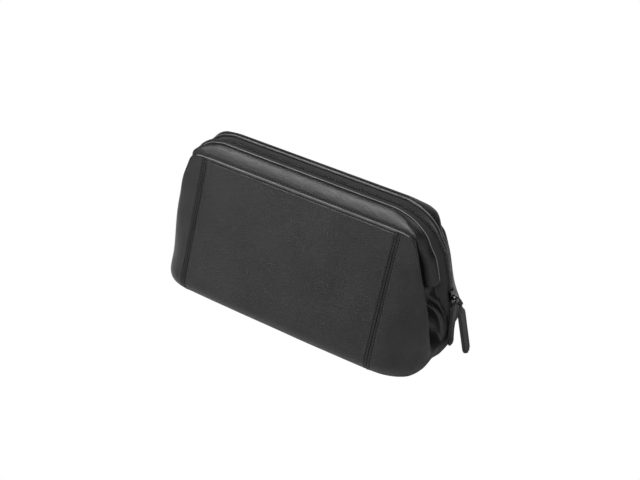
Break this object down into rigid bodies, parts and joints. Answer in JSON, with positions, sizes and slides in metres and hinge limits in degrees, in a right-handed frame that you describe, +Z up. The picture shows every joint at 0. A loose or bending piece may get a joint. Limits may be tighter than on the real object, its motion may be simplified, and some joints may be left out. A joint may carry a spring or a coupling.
{
  "type": "toiletry bag",
  "caption": "Framed leather wash bag, closed, with two sprung frame halves hinged at the ends, a zip over the top and a slider with a leather pull.",
  "frame": {"origin": "middle of the flat underside", "axes": "+X along the bag to the end with the slider, +Y to the back, +Z up"},
  "size_m": [0.3132, 0.1278, 0.131],
  "materials": {
    "leather": "satin black fine-grained leather",
    "lining": "plain woven lining",
    "frame_steel": "plain spring steel",
    "board": "stiff board",
    "zip_tape": "woven zip tape",
    "zip_teeth": "black coil",
    "dark_metal": "dark polished metal"
  },
  "bodies": {
    "root": {"base_panel": "leather", "front_panel": "leather", "back_panel": "leather", "right_gusset": "leather", "left_gusset": "leather", "base_board": "board", "base_lining": "lining", "front_lining": "lining", "back_lining": "lining", "right_gusset_lining": "lining", "left_gusset_lining": "lining", "right_zip_end": "zip_tape", "left_zip_end": "zip_tape", "right_zip_tab": "leather", "left_zip_tab": "leather", "right_pivot_rivet": "frame_steel", "left_pivot_rivet": "frame_steel"},
    "front_frame": {"front_frame_wire": "frame_steel", "front_collar": "leather", "front_frame_sleeve": "lining", "front_zip_tape": "zip_tape", "front_zip_teeth": "zip_teeth"},
    "back_frame": {"back_frame_wire": "frame_steel", "back_collar": "leather", "back_frame_sleeve": "lining", "back_zip_tape": "zip_tape", "back_zip_teeth": "zip_teeth"},
    "slider": {"slider_body": "dark_metal"},
    "link": {"pull_link": "dark_metal"},
    "pull": {"leather_pull": "leather"}
  },
  "joints": [
    {"name": "front_frame_hinge", "type": "hinge", "parent": "root", "child": "front_frame", "pos_m": [0.124, 0, 0.07], "axis": [1, 0, 0], "range_deg": [0, 40], "deforming": ["front_panel", "back_panel", "right_gusset", "left_gusset", "front_lining", "back_lining", "right_gusset_lining", "left_gusset_lining", "right_zip_end", "left_zip_end"]},
    {"name": "back_frame_hinge", "type": "hinge", "parent": "root", "child": "back_frame", "pos_m": [0.1254, 0, 0.07], "axis": [-1, 0, 0], "range_deg": [0, 40]},
    {"name": "slider_run", "type": "slide", "parent": "root", "child": "slider", "axis": [-0.1994, 0, 0.9799], "range_m": [0, 0.03]},
    {"name": "link_hinge", "type": "hinge", "parent": "slider", "child": "link", "pos_m": [0.14106, 0, 0.05779], "axis": [0, -1, 0], "range_deg": [0, 120]},
    {"name": "pull_hinge", "type": "hinge", "parent": "link", "child": "pull", "pos_m": [0.14535, 0, 0.05419], "axis": [0, -1, 0], "range_deg": [-12, 45]}
  ]
}
